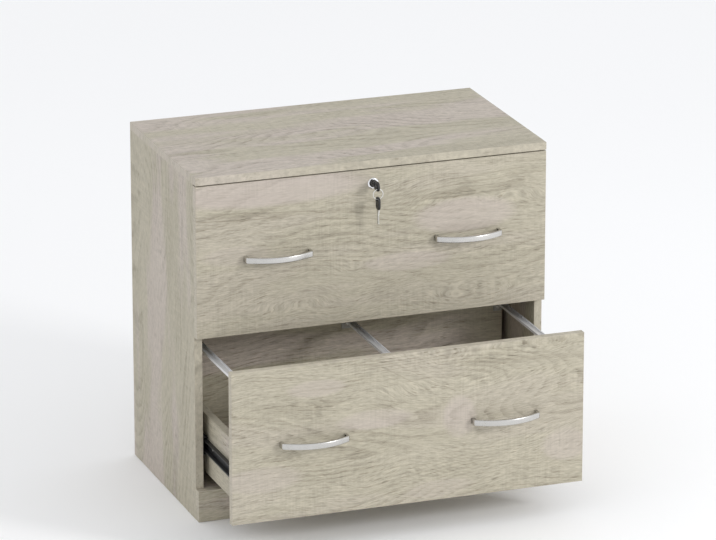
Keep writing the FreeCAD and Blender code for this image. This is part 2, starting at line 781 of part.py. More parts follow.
def drawer(name, lift, out, with_lock):
    """One drawer: front, low sides, tall back, bottom, rails, handles, and its halves of the slides."""

    def hang(label, item, moved=out):
        return keep(name + "_" + label, item, lift, moved)

    hang("drawer_front", drawer_front(name + "_drawer_front", with_lock))
    for side, sign, outward, inward in SIGNS:
        body = new_body(name + "_" + side + "_drawer_side")
        along = ("board", BACK_FRONT)
        span(body, "x", band(sign, BOX_INNER, "board"), along, ("box_lift", "box_lift + side_height"))
        span(body, "x", band(sign, BOX_INNER, "groove_depth"), along, BOTTOM_GROOVE, pocket)
        hang(side + "_drawer_side", drill(body, inner_holes, box_disc_holes, box_pin_holes))
    body = new_body(name + "_drawer_back")
    span(body, "y", ("-" + BOX_HALF, BOX_HALF), (BACK_FRONT, BOX_BACK), ("box_lift", BOX_TOP))
    span(body, "y", BOTTOM_WIDTH, (BACK_FRONT, BACK_FRONT + " + groove_depth"), BOTTOM_GROOVE, pocket)
    hang("drawer_back", drill(body, bracket_holes, box_pin_holes))
    body = new_body(name + "_drawer_bottom")
    reach = "(%s + groove_depth - groove_play)" % BOX_INNER
    front_edge = "board - groove_depth + groove_play"
    rear_edge = BACK_FRONT + " + groove_depth - groove_play"
    span(body, "z", ("-" + reach, reach), (front_edge, rear_edge),
         ("box_lift + bottom_lift", "box_lift + bottom_lift + bottom_thick"))
    hang("drawer_bottom", body)
    for spot, x in RAIL_SPOTS:
        body = new_body(name + "_" + spot + "_rail")
        half = "rail_width / 2"
        sketch = outline(draw(body, "y", "board + bracket_plate + rail_play"), [
            ("%s - %s" % (x, half), RAIL_LIFT),
            ("%s + %s" % (x, half), RAIL_LIFT),
            ("%s + %s" % (x, half), RAIL_LIFT + " + rail_height"),
            ("%s + %s - rail_rib" % (x, half), RAIL_LIFT + " + rail_height"),
            ("%s + %s - rail_rib" % (x, half), RAIL_LIFT + " + rail_web"),
            ("%s - %s + rail_rib" % (x, half), RAIL_LIFT + " + rail_web"),
            ("%s - %s + rail_rib" % (x, half), RAIL_LIFT + " + rail_height"),
            ("%s - %s" % (x, half), RAIL_LIFT + " + rail_height"),
        ])
        pad(body, sketch, "y", BACK_FRONT + " - board - 2 * (bracket_plate + rail_play)")
        hang(spot + "_file_rail", body)
    hang("rail_brackets", copies(name + "_rail_brackets", bracket, bracket_spots))
    for side, sign, outward, inward in SIGNS:
        hang(side + "_handle", bow_handle(name + "_" + side + "_handle", sign))
        inner = inner_member(name + "_" + side + "_inner_slide", sign)
        hang(side + "_inner_slide", drill(inner, inner_holes))
        outer = outer_member(name + "_" + side + "_outer_slide", sign)
        keep(name + "_" + side + "_outer_slide", drill(outer, outer_holes), lift)
        hang(side + "_ball_cage", ball_cage(name + "_" + side + "_ball_cage", sign), out + " / 2")
    hang("handle_screws", copies(name + "_handle_screws", handle_screw, foot_spots))
    screws = doc.addObject("Part::Compound", name + "_drawer_screws")
    screws.Links = [
        copies(name + "_slide_screws", screw, inner_screws),
        copies(name + "_bracket_screws", plate_screw, screw_spots),
    ]
    hang("drawer_screws", screws)
    fittings = doc.addObject("Part::Compound", name + "_cam_fittings")
    fittings.Links = [copies(name + "_discs", disc, box_discs), copies(name + "_pins", pin, box_pins)]
    hang("cam_fittings", fittings)


drawer("upper", UPPER_LIFT, "upper_open", True)
drawer("lower", LOWER_LIFT, "lower_open", False)

# The cam lock. Its own origin is on its axis, in the plane of the front's face.
LOCK_AT = "%s + %s" % (UPPER_LIFT, LOCK_LIFT)
CAM_START = "(lock_length + play)"


def fit_lock(label, item, forward="0", lift="0", turn="+z"):
    return keep(label, item, LOCK_AT + " + (%s)" % lift, "upper_open - (%s)" % forward, turn)


COLLAR_SEAT = "(plug_collar_thick - bezel_thick)"
barrel = faceted("lock_barrel", [
    ("bezel_radius - bezel_ease", "-bezel_thick"),
    ("bezel_radius", "-bezel_thick + bezel_ease"),
    ("bezel_radius", "0"),
    ("lock_radius", "0"),
    ("lock_radius", "lock_length"),
], LOCK_SIDES)
bore = faceted("lock_bore", [
    ("plug_collar + play", "-bezel_thick - play"),
    ("plug_collar + play", COLLAR_SEAT + " + play"),
    ("plug_radius + play", COLLAR_SEAT + " + play"),
    ("plug_radius + play", "lock_length + play"),
], LOCK_SIDES, clear=True)
fit_lock("lock_housing", drill(barrel, bore), turn="+y")

nut = faceted("lock_nut", [("nut_flats / sqrt(3)", "0"), ("nut_flats / sqrt(3)", "nut_thick")])
fit_lock("lock_nut", drill(nut, lock_hole), "board", turn="+y")

# The plug turns in the housing. It has a keyway in front and a square tail that drives the cam.
core = faceted("plug_core", [
    ("plug_collar", "-bezel_thick"),
    ("plug_collar", COLLAR_SEAT),
    ("plug_radius", COLLAR_SEAT),
    ("plug_radius", "lock_length"),
], LOCK_SIDES)
tail = new_body("plug_tail")
HALF_TAIL = "(plug_tail / 2)"
TAIL_WIDTH = ("-" + HALF_TAIL, HALF_TAIL)
span(tail, "z", TAIL_WIDTH, TAIL_WIDTH, ("lock_length - cam_thick", CAM_START + " + cam_thick"))
keyway = new_body("keyway")
slot_across = "(blade_thick / 2 + keyway_play)"
slot_up = "(blade_height / 2 + keyway_play)"
span(keyway, "z", ("-" + slot_across, slot_across), ("-" + slot_up, slot_up),
     ("-bezel_thick - play", "-bezel_thick + blade_length + play"))
screw_seat = faceted("cam_screw_hole", [
    ("cam_screw_radius + play", CAM_START + " + cam_thick - cam_screw_length - play"),
    ("cam_screw_radius + play", CAM_START + " + cam_thick + play"),
])
fit_lock("lock_plug", drill(joined("plug", [core, tail]), keyway, screw_seat), turn="+y")

cam = new_body("lock_cam")
cam_edge = "(cam_width / 2)"
cam_corner = "(cam_width * %s)" % CAM_CORNER_SHARE
sketch = outline(draw(cam, "y", CAM_START), [
    *round_corner("0", "0", cam_edge, -90),
    *round_corner("0", "0", cam_edge, 0)[1:],
    ("-cam_length + " + cam_corner, cam_edge),
    ("-cam_length", "%s - %s" % (cam_edge, cam_corner)),
    ("-cam_length", "%s - %s" % (cam_corner, cam_edge)),
    ("-cam_length + " + cam_corner, "-" + cam_edge),
])
hole = "(plug_tail / 2 + play)"
outline(sketch, [("-" + hole, "-" + hole), (hole, "-" + hole), (hole, hole), ("-" + hole, hole)])
pad(cam, sketch, "y", "cam_thick")
fit_lock("lock_cam", cam)

cam_screw = faceted("lock_cam_screw", [
    ("cam_screw_head", "-cam_screw_rise"),
    ("cam_screw_head", "0"),
    ("cam_screw_radius", "0"),
    ("cam_screw_radius", "cam_screw_length"),
])
fit_lock("lock_cam_screw", cam_screw, CAM_START + " + cam_thick", turn="-y")


def key(name):
    """A key with its blade along +Y, its shoulder at y zero and a slotted bow behind."""
    body = new_body(name)
    end = "(-shoulder_length - bow_length)"
    side = "(bow_height / 2)"
    neck = "(blade_height / 2)"
    slant = "(blade_height * %s)" % BLADE_TIP_SHARE
    near = "-shoulder_length - bow_round"
    far = end + " + bow_round"
    low = "-%s + bow_round" % side
    high = side + " - bow_round"
    sketch = outline(draw(body, "x", "-bow_thick / 2"), [
        *round_corner(near, low, "bow_round", -90),
        ("-shoulder_length", "-" + neck),
        ("0", "-" + neck),
        ("0", neck),
        ("-shoulder_length", neck),
        *round_corner(near, high, "bow_round", 0),
        *round_corner(far, high, "bow_round", 90),
        *round_corner(far, low, "bow_round", 180),
    ])
    slot_near = "-(%s - bow_slot / 2)" % SLOT_MIDDLE
    slot_far = "-(%s + bow_slot / 2)" % SLOT_MIDDLE
    rim = "(bow_height / 2 - bow_rim)"
    outline(sketch, [(slot_far, "-" + rim), (slot_near, "-" + rim), (slot_near, rim), (slot_far, rim)])
    pad(body, sketch, "x", "bow_thick")
    sketch = outline(draw(body, "x", "-blade_thick / 2"), [
        ("0", "-" + neck),
        ("blade_length - " + slant, "-" + neck),
        ("blade_length", "%s - %s" % (slant, neck)),
        ("blade_length", "%s - %s" % (neck, slant)),
        ("blade_length - " + slant, neck),
        ("0", neck),
    ])
    pad(body, sketch, "x", "blade_thick")
    return body


RING_DROP = "(%s + ring_hang)" % RIM_DROP
RING_FORWARD = "%s - %s" % (KEY_SEAT, SLOT_MIDDLE)
SPARE_DROP = "(%s + ring_inner - spare_gap + shoulder_length + bow_length - bow_end_rim)" % RING_DROP
fit_lock("key", key("key_in_lock"), KEY_SEAT)
RING_SIDES = 24
ring_disc = faceted("key_ring_disc", [
    ("ring_inner + 2 * ring_wire", "-ring_wire"),
    ("ring_inner + 2 * ring_wire", "ring_wire"),
], RING_SIDES)
ring_hole = faceted("key_ring_hole", [
    ("ring_inner", "-ring_wire - play"),
    ("ring_inner", "ring_wire + play"),
], RING_SIDES)
fit_lock("key_ring", drill(ring_disc, ring_hole), RING_FORWARD, "-" + RING_DROP, "+y")
fit_lock("spare_key", key("key_on_ring"), RING_FORWARD, "-" + SPARE_DROP, "down")

doc.recompute()
for item in doc.Objects:
    if "Invalid" in item.State or "Error" in item.State:
        raise RuntimeError("%s (%s) failed: %s" % (item.Name, item.Label, item.State))
os.makedirs("parts", exist_ok=True)
for item in parts:
    shape = item.Shape
    if shape.isNull() or not shape.isValid() or not shape.Solids:
        raise RuntimeError(item.Label + " has no valid shape")
    shape.exportStep("parts/%s.step" % item.Label)
    print("%-28s %2d solids, %10.1f mm3" % (item.Label, len(shape.Solids), shape.Volume))
print(len(parts), "pieces")
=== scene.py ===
import math
from functools import reduce

import bmesh
import bpy
from mathutils import Matrix, Vector


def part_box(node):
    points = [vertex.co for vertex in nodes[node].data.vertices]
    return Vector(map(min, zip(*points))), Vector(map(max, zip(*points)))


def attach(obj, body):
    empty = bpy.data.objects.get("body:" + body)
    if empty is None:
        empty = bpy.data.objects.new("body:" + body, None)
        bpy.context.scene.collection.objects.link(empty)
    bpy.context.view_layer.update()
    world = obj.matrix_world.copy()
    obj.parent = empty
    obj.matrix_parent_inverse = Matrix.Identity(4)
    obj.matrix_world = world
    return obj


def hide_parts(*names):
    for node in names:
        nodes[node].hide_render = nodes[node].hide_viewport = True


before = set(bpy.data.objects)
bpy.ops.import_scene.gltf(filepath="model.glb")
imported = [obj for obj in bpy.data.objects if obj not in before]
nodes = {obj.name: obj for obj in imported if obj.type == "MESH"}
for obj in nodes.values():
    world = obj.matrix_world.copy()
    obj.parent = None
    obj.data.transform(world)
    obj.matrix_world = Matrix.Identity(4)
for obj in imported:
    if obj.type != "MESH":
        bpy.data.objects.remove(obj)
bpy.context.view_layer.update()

MM = 0.001
DRAWERS = ("upper", "lower")


# Materials


class Value:
    """A number, colour or place that varies over a surface. Python sums on it add Math nodes."""

    def __init__(self, finish, socket):
        self.finish = finish
        self.socket = socket

    def maths(self, operation, *numbers):
        return self.finish.node("ShaderNodeMath", {"operation": operation}, dict(enumerate(numbers)))

    def __add__(self, other):
        return self.maths("ADD", self, other)

    def __sub__(self, other):
        return self.maths("SUBTRACT", self, other)

    def __rsub__(self, other):
        return self.maths("SUBTRACT", other, self)

    def __mul__(self, other):
        return self.maths("MULTIPLY", self, other)

    def __pow__(self, other):
        return self.maths("POWER", self, other)

    def __rpow__(self, other):
        return self.maths("POWER", other, self)

    def __gt__(self, other):
        return self.maths("GREATER_THAN", self, other)

    def __lt__(self, other):
        return self.maths("LESS_THAN", self, other)

    def __abs__(self):
        return self.maths("ABSOLUTE", self)

    __radd__ = __add__
    __rmul__ = __mul__

    def fraction(self):
        return self.maths("FRACT", self)

    def least(self, other):
        return self.maths("MINIMUM", self, other)

    def most(self, other):
        return self.maths("MAXIMUM", self, other)

    def rise(self, low, high):
        """0 below low and 1 above high, with a smooth slope between them."""
        sockets = {"Value": self, "From Min": low, "From Max": high}
        return self.finish.node("ShaderNodeMapRange", {"interpolation_type": "SMOOTHSTEP"}, sockets)

    def stretched(self, scale):
        """Places multiplied along each axis, so that a pattern on them is finer the larger the number."""
        return self.finish.node("ShaderNodeVectorMath", {"operation": "MULTIPLY"}, {0: self, 1: scale})

    def noise(self, detail, roughness):
        sockets = {"Vector": self, "Scale": 1.0, "Detail": detail, "Roughness": roughness}
        return self.finish.node("ShaderNodeTexNoise", {}, sockets)

    def axis(self, number):
        return self.finish.node("ShaderNodeSeparateXYZ", {}, {0: self}, number)


# A Mix node has sockets for every kind of data, and these are the ones that mix colours
MIX_SHARE = 0
MIX_FIRST = 6
MIX_SECOND = 7
MIX_RESULT = 2


class Finish:
    """A material being made: one Principled shader, and the nodes that feed it."""

    def __init__(self, name, **settings):
        self.name = name
        self.material = bpy.data.materials.new(name)
        self.material.use_nodes = True
        self.tree = self.material.node_tree
        self.shader = self.tree.nodes["Principled BSDF"]
        for socket, number in settings.items():
            self.shader.inputs[socket.replace("_", " ")].default_value = number
        self.places = self.node("ShaderNodeTexCoord", {}, {}, "Object")

    def node(self, kind, settings, sockets, out=0):
        """Add a node: its settings first, then the values or links of its sockets."""
        node = self.tree.nodes.new(kind)
        for name, setting in settings.items():
            setattr(node, name, setting)
        for name, number in sockets.items():
            if isinstance(number, Value):
                self.tree.links.new(number.socket, node.inputs[name])
            else:
                node.inputs[name].default_value = number
        return Value(self, node.outputs[out])

    def feed(self, socket, number):
        self.tree.links.new(number.socket, self.shader.inputs[socket])

    def mix(self, share, first, second, blend="MIX"):
        """Blend two colours, each a Value or three numbers, by a share."""
        settings = {"data_type": "RGBA", "blend_type": blend, "clamp_factor": True}
        sides = [side if isinstance(side, Value) else (*side, 1.0) for side in (first, second)]
        sockets = {MIX_SHARE: share, MIX_FIRST: sides[0], MIX_SECOND: sides[1]}
        return self.node("ShaderNodeMix", settings, sockets, MIX_RESULT)

    def shaded(self, colour, shade):
        """Darken or lighten a colour by a number around 1."""
        grey = self.node("ShaderNodeCombineColor", {}, {0: shade, 1: shade, 2: shade})
        return self.mix(1.0, colour, grey, "MULTIPLY")

    def bump(self, height, depth, strength):
        sockets = {"Height": height, "Distance": depth, "Strength": strength}
        self.feed("Normal", self.node("ShaderNodeBump", {}, sockets))


def assign(finish, *names):
    """Give carried-over nodes one material."""
    for name in names:
        mesh = nodes[name].data
        if not mesh.materials:
            mesh.materials.append(finish.material)
        for number in range(len(mesh.materials)):
            mesh.materials[number] = finish.material


# Light oak laminate

OAK = (0.438, 0.402, 0.312)
OAK_PINK = (0.488, 0.43, 0.378)
OAK_LIGHT = (0.51, 0.468, 0.385)
OAK_GRAIN = (0.205, 0.178, 0.13)
CHIP = (0.36, 0.26, 0.16)
CHIP_LIGHT = (0.58, 0.45, 0.29)

# Rows that turn places so that the grain runs along the first axis and the board's face is the first two
LIE = {
    "front": ((1, 0, 0), (0, 0, 1), (0, -1, 0)),
    "top": ((1, 0, 0), (0, 1, 0), (0, 0, 1)),
    "side": ((0, 0, 1), (0, 1, 0), (-1, 0, 0)),
    "box_side": ((0, 1, 0), (0, 0, 1), (1, 0, 0)),
}

# How fine each part of the print is along the grain, across it and into the board, in spots a metre
DRIFT = (1.5, 6.0, 3.0)
WAVER = (13.0, 60.0, 20.0)
VIGOUR = (3.5, 17.0, 5.0)
SWEEP = (6.0, 5.0, 3.0)
PINK = (2.3, 12.0, 4.0)
FIBRE = (18.0, 500.0, 60.0)
FLECK = (85.0, 520.0, 80.0)
HAIR = (60.0, 1900.0, 300.0)
PORE = (50.0, 700.0, 200.0)
TICK = (130.0, 2600.0, 500.0)
SAW = (300.0, 16.0, 40.0)
SAW_PATCH = (7.0, 12.0, 5.0)
CHIPS = (420.0, 420.0, 900.0)
RINGS_PER_METRE = 62.0

OAK_ROUGHNESS = 0.56
OAK_SHEEN = 0.32
PRINT_RELIEF = 0.12 * MM

# How thick the band round a board's edges is, and how softly its seam shows
BAND = 1.2 * MM
SEAM_BLUR = 0.1 * MM

# The fronts' own figure, in millimetres. A bend lifts the grain between two places across, within a band
# of heights: left, right, low, high and lift. A grain line has left, start height, right, end height, curve
# (1 is straight), width and strength. A pale patch has its middle, height, half width, half height and
# strength.
GRAIN_BENDS = {
    "upper_drawer_front": [
        (5, 130, 560, 668, 24),
        (-130, -30, 385, 500, -26),
        (-60, 140, 380, 500, 20),
        (-340, -200, 395, 470, 18),
        (60, 190, 360, 410, -14),
        (240, 340, 360, 410, 16),
    ],
    "lower_drawer_front": [
        (-310, -170, 300, 385, -14),
        (-110, 110, 190, 385, -38),
        (90, 330, 215, 350, 22),
        (-300, -130, 220, 310, -12),
        (-170, -10, 105, 210, 16),
        (30, 190, 100, 200, -16),
        (215, 370, 100, 250, 20),
    ],
}
GRAIN_LINES = {
    "upper_drawer_front": [
        (-372, 611, 20, 584, 0.8, 2.6, 0.5),
        (-372, 604, -250, 594, 1.0, 2.6, 0.5),
        (-372, 596, -140, 585, 0.7, 2.8, 0.55),
        (-372, 603, -100, 589, 0.8, 10.0, 0.3),
        (-120, 596, 20, 608, 1.0, 3.5, 0.25),
        (-140, 592, 40, 585, 1.0, 7.0, 0.3),
        (-10, 598, 370, 638, 0.5, 3.0, 0.3),
        (-6, 590, 370, 625, 0.5, 3.0, 0.35),
        (0, 585, 370, 612, 0.5, 3.2, 0.35),
        (10, 581, 350, 596, 0.4, 3.4, 0.45),
        (5, 590, 365, 604, 0.45, 10.0, 0.25),
        (-380, 371, 70, 370, 1.0, 9.0, 0.3),
        (70, 390, 190, 372, 1.3, 2.6, 0.35),
        (230, 372, 370, 402, 1.6, 2.6, 0.3),
    ],
    "lower_drawer_front": [
        (-340, 353, -165, 328, 1.2, 2.2, 0.4),
        (-345, 344, -212, 334, 1.2, 2.2, 0.3),
        (-120, 353, -50, 342, 1.0, 2.6, 0.4),
        (-265, 284, -115, 261, 1.0, 2.2, 0.25),
        (-135, 159, -45, 175, 1.0, 2.2, 0.3),
        (-80, 350, 90, 246, 1.2, 2.4, 0.3),
        (-55, 352, 112, 262, 1.2, 2.4, 0.25),
        (40, 341, 370, 322, 0.5, 2.8, 0.4),
        (80, 332, 370, 319, 0.6, 10.0, 0.3),
        (140, 346, 290, 330, 1.0, 2.4, 0.3),
        (45, 178, 165, 148, 0.8, 2.2, 0.25),
    ],
}
PALE_PATCHES = {
    "upper_drawer_front": [
        (-200, 640, 200, 31, 1.0),
        (185, 556, 105, 36, 0.85),
        (70, 474, 90, 20, 0.6),
        (-270, 520, 70, 20, 0.4),
    ],
    "lower_drawer_front": [
        (-183, 309, 60, 18, 0.6),
        (-70, 237, 75, 18, 0.6),
        (100, 224, 34, 40, 0.6),
        (315, 146, 50, 36, 0.7),
        (-290, 150, 80, 28, 0.5),
        (60, 86, 70, 18, 0.4),
    ],
}


def grain_bend(place, bend):
    """How far the grain is lifted at a place."""
    left, right, low, high, lift = bend
    up = place.axis(2)
    slope = (high - low) * 0.4
    band = up.rise(low * MM, (low + slope) * MM) * (1.0 - up.rise((high - slope) * MM, high * MM))
    return place.axis(0).rise(left * MM, right * MM) * band * (lift * MM)


def grain_line(place, wobble, line):
    """A dark line of the figure, faded at both ends."""
    left, start, right, end, curve, width, strength = line
    along = (place.axis(0) - left * MM) * (1 / ((right - left) * MM))
    height = along.most(0.0) ** curve * ((end - start) * MM) + start * MM
    away = abs(place.axis(2) + wobble - height)
    ends = along.rise(0.0, 0.2) * (1.0 - along.rise(0.7, 1.0))
    return (1.0 - away.rise(0.0, width * MM)) * ends * strength


def pale_patch(place, sway, patch):
    """A pale, rounded patch of the figure."""
    middle, height, half_width, half_height, strength = patch
    across = (place.axis(0) - middle * MM) * (1 / (half_width * MM))
    up = (place.axis(2) + sway - height * MM) * (1 / (half_height * MM))
    return (1.0 - (across * across + up * up).rise(0.5, 1.25)) * strength


def with_edge_band(oak, colour, low, high):
    """A board's colour with the dark seam of the band round its face, and its edges lightened: partly the
    band's paler tone, partly a painted highlight.
    """
    half = [(top - bottom) / 2 for bottom, top in zip(low, high)]
    face_axes = sorted(range(3), key=lambda axis: half[axis])[1:]
    away = []
    for axis in face_axes:
        middle = (low[axis] + high[axis]) / 2
        away.append(half[axis] - abs(oak.places.axis(axis) - middle))
    from_edge = away[0].least(away[1])
    inner_side = from_edge.rise(BAND - SEAM_BLUR, BAND)
    outer_side = from_edge.rise(BAND + SEAM_BLUR, BAND + 2 * SEAM_BLUR)
    # Lightens the thin edge faces and a strip along the face's edges: partly the band's paler tone, partly
    # a painted highlight
    band_tone_and_highlight = 1.0 - from_edge.rise(BAND - 3 * SEAM_BLUR, BAND)
    colour = oak.mix(inner_side * (1.0 - outer_side) * 0.3, colour, OAK_GRAIN)
    # Mixes in the pale edges: partly the band's own tone, partly a painted highlight
    return oak.mix(band_tone_and_highlight * 0.4, colour, OAK_LIGHT)


def with_bare_back(oak, colour, high):
    """A board's colour with bare chipboard on its rear end."""
    back = oak.places.axis(1) > (high[1] - 0.05 * MM)
    chips = oak.places.stretched(CHIPS).noise(2.0, 0.7)
    return oak.mix(back, colour, oak.mix(chips.rise(0.42, 0.62), CHIP, CHIP_LIGHT))


def laminate(node, lie, shift, bare_back):
    """Printed laminate on chipboard: flowing figure, fine fibres, short pores and banded edges."""
    oak = Finish("oak_laminate_" + node, Specular_IOR_Level=OAK_SHEEN)
    turn = Matrix(LIE[lie]).to_euler()
    places = oak.node("ShaderNodeMapping", {}, {"Vector": oak.places, "Location": shift, "Rotation": turn})

    drift = places.stretched(DRIFT).noise(1.0, 0.4)
    waver = places.stretched(WAVER).noise(2.0, 0.55)
    ring = (places.axis(1) * RINGS_PER_METRE + drift * 30.0 + waver * 0.9).fraction()
    early_wood = ring.rise(0.0, 0.08) * (1.0 - ring.rise(0.1, 0.7))
    vigour = places.stretched(VIGOUR).noise(2.0, 0.6).rise(0.36, 0.66)

    lean = places.axis(1) + places.stretched(SWEEP).noise(1.0, 0.4) * 0.04 + waver * 0.004
    for bend in GRAIN_BENDS.get(node, ()):
        lean = lean - grain_bend(oak.places, bend)
    flow = oak.node("ShaderNodeCombineXYZ", {}, {0: places.axis(0), 1: lean, 2: places.axis(2)})
    fibre = flow.stretched(FIBRE).noise(3.0, 0.68)
    fleck = flow.stretched(FLECK).noise(1.0, 0.5)
    hair = flow.stretched(HAIR).noise(2.0, 0.6)
    pores = flow.stretched(PORE).noise(1.0, 0.5).rise(0.57, 0.66) * (early_wood * 0.6 + vigour * 0.2 + 0.2)
    ticks = flow.stretched(TICK).noise(0.0, 0.5).rise(0.62, 0.7)
    saw_patch = places.stretched(SAW_PATCH).noise(1.0, 0.5).rise(0.4, 0.6)
    saw_marks = (places.stretched(SAW).noise(1.0, 0.5) - 0.5) * saw_patch

    dark = early_wood * (vigour * 0.85 + 0.15) * 0.3 + pores * 0.55 + ticks * 0.25
    pale = places.stretched(PINK).noise(2.0, 0.5).rise(0.46, 0.57)
    grain = (fibre - 0.5) * 0.6 + (fleck - 0.5) * 0.6 + (hair - 0.5) * 0.4
    if node in GRAIN_LINES:
        sway = (drift - 0.5) * (30.0 * MM)
        wobble = (waver - 0.5) * (7.0 * MM)
        patches = reduce(Value.most, [pale_patch(oak.places, sway, patch) for patch in PALE_PATCHES[node]])
        lines = reduce(Value.most, [grain_line(oak.places, wobble, line) for line in GRAIN_LINES[node]])
        calm = 1.0 - patches * 0.6
        pale = pale * 0.25 + patches
        dark = dark * calm + lines * (fleck + fibre) * 0.75
        grain = grain * calm

    colour = oak.mix(pale, OAK, OAK_PINK)
    colour = oak.mix((1.0 - vigour) * 0.2, colour, OAK_LIGHT)
    colour = oak.mix(dark, colour, OAK_GRAIN)
    colour = oak.shaded(colour, 1.0 + grain + saw_marks * 0.24)
    low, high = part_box(node)
    colour = with_edge_band(oak, colour, low, high)
    if bare_back:
        colour = with_bare_back(oak, colour, high)
    relief = fibre * 0.35 + hair * 0.3 - pores - ticks * 0.6 - early_wood * 0.25
    oak.feed("Base Color", colour)
    oak.feed("Roughness", OAK_ROUGHNESS + pores * 0.2 + (fibre - 0.5) * 0.16)
    oak.bump(relief, PRINT_RELIEF, 0.5)
    return oak


# Each board, how it lies, a shift of its print so that no two are alike, and whether its rear end is bare
BOARDS = [
    ("top_panel", "top", (3.1, 0.4, 0.2), True),
    ("left_side_panel", "side", (1.7, 2.3, 0.6), True),
    ("right_side_panel", "side", (5.2, 1.1, 0.3), True),
    ("bottom_panel", "top", (7.4, 2.6, 0.8), True),
    ("plinth_board", "front", (2.9, 4.7, 0.5), False),
    ("rear_rail", "front", (4.3, 6.1, 0.9), False),
    ("upper_drawer_front", "front", (0.62, 1.32, 0.1), False),
    ("lower_drawer_front", "front", (8.8, 3.45, 0.4), False),
]
for drawer, along in (("upper", 0.0), ("lower", 3.7)):
    BOARDS += [
        (drawer + "_left_drawer_side", "box_side", (2.2 + along, 5.6, 0.2), False),
        (drawer + "_right_drawer_side", "box_side", (6.5 + along, 4.2, 0.7), False),
        (drawer + "_drawer_back", "front", (9.3 + along, 7.7, 0.6), False),
    ]
for node, lie, shift, bare_back in BOARDS:
    assign(laminate(node, lie, shift, bare_back), node)


# The other materials


def thin_board():
    """Thin printed fibreboard, for the back and the drawer bottoms."""
    thin = Finish("thin_board")
    flow = thin.places.stretched((2.0, 50.0, 50.0)).noise(3.0, 0.6)
    fleck = thin.places.stretched((900.0, 900.0, 900.0)).noise(2.0, 0.6)
    fibre = thin.places.stretched((18.0, 420.0, 420.0)).noise(3.0, 0.65)
    colour = thin.mix(flow.rise(0.35, 0.65), (0.425, 0.385, 0.3), (0.485, 0.44, 0.36))
    thin.feed("Base Color", thin.shaded(colour, 1.0 + (fleck - 0.5) * 0.2 + (fibre - 0.5) * 0.5))
    thin.feed("Roughness", 0.55 + fleck * 0.15)
    thin.bump(fleck, 0.06 * MM, 0.4)
    return thin


def dowel_wood():
    """Pale turned wood with an upright grain."""
    beech = Finish("dowel_wood", Roughness=0.7)
    flow = beech.places.stretched((300.0, 300.0, 30.0)).noise(2.0, 0.5)
    beech.feed("Base Color", beech.mix(flow.rise(0.3, 0.7), (0.55, 0.38, 0.2), (0.68, 0.5, 0.3)))
    beech.bump(flow, 0.1 * MM, 0.4)
    return beech


def metal(name, colour, dull, rough, grit_scale, stain=0.12, brush=0.0, metallic=1.0):
    """Metal with a cloudy stain, and brushing or fine grit that varies its gloss."""
    made = Finish(name, Metallic=metallic)
    grit = made.places.stretched(grit_scale).noise(3.0, 0.6)
    cloud = made.places.stretched((60.0, 60.0, 60.0)).noise(3.0, 0.55)
    made.feed("Base Color", made.mix(cloud.rise(0.35, 0.75) * stain * 4.0, colour, dull))
    made.feed("Roughness", rough + (grit - 0.5) * (0.25 * rough) + (cloud - 0.5) * (0.3 * rough))
    if brush:
        made.bump(grit, brush * MM, 0.5)
    return made


def plastic(name, colour, worn, rough):
    """Moulded plastic with a fine spark-eroded grain, and a little wear."""
    made = Finish(name)
    grain = made.places.stretched((2600.0, 2600.0, 2600.0)).noise(2.0, 0.6)
    cloud = made.places.stretched((150.0, 150.0, 150.0)).noise(2.0, 0.5)
    made.feed("Base Color", made.mix(cloud.rise(0.4, 0.8) * 0.5, colour, worn))
    made.feed("Roughness", rough + (grain - 0.5) * 0.2)
    made.bump(grain, 0.02 * MM, 0.5)
    return made


nickel = metal("satin_nickel", (0.58, 0.57, 0.55), (0.52, 0.51, 0.485), 0.26, (30.0, 400.0, 400.0))
chrome = metal("lock_chrome", (0.86, 0.86, 0.87), (0.7, 0.7, 0.71), 0.1, (400.0, 400.0, 400.0), stain=0.1)
zinc = metal("zinc_steel", (0.68, 0.68, 0.665), (0.58, 0.57, 0.52), 0.34, (700.0, 700.0, 700.0),
             stain=0.2, brush=0.015)
bright = metal("ball_cage_steel", (0.75, 0.75, 0.75), (0.6, 0.6, 0.6), 0.2, (500.0, 500.0, 500.0),
               stain=0.15)
anodised = metal("rail_aluminium", (0.78, 0.78, 0.79), (0.7, 0.7, 0.7), 0.38, (1600.0, 30.0, 1600.0),
                 stain=0.1, brush=0.01, metallic=0.4)
black = metal("slide_steel", (0.022, 0.022, 0.023), (0.05, 0.05, 0.048), 0.42, (1500.0, 1500.0, 1500.0),
              brush=0.02, metallic=0.35)
gunmetal = metal("plug_metal", (0.055, 0.053, 0.05), (0.11, 0.105, 0.1), 0.3, (900.0, 900.0, 900.0),
                 stain=0.15, brush=0.01, metallic=0.7)
grey_plastic = plastic("bracket_plastic", (0.36, 0.36, 0.345), (0.42, 0.42, 0.4), 0.5)
key_plastic = plastic("key_plastic", (0.012, 0.012, 0.013), (0.03, 0.03, 0.03), 0.38)

assign(thin_board(), "back_panel", "upper_drawer_bottom", "lower_drawer_bottom")
assign(dowel_wood(), "case_dowels")
assign(zinc, "lock_strike", "case_cam_pins", "lock_nut", "lock_cam", "lock_cam_screw")
for drawer in DRAWERS:
    for side in ("left", "middle", "right"):
        assign(anodised, f"{drawer}_{side}_file_rail")
    for side in ("left", "right"):
        assign(black, f"{drawer}_{side}_outer_slide", f"{drawer}_{side}_inner_slide")


# Shaping

WELD = 0.001 * MM
FLAT_ANGLE = 0.5
SHARP_ANGLE = 40


def merged(node):
    """A copy of a node's mesh with its loose triangles joined and its flat faces whole."""
    shell = bmesh.new()
    shell.from_mesh(nodes[node].data)
    bmesh.ops.remove_doubles(shell, verts=shell.verts, dist=WELD)
    flat = math.radians(FLAT_ANGLE)
    bmesh.ops.dissolve_limit(shell, angle_limit=flat, verts=shell.verts, edges=shell.edges)
    return shell


def bevel(shell, edges, width, segments):
    """Round edges to a width in millimetres."""
    bmesh.ops.bevel(shell, geom=edges, offset=width * MM, offset_type="OFFSET", segments=segments,
                    profile=0.5, affect="EDGES", clamp_overlap=True, material=-1)


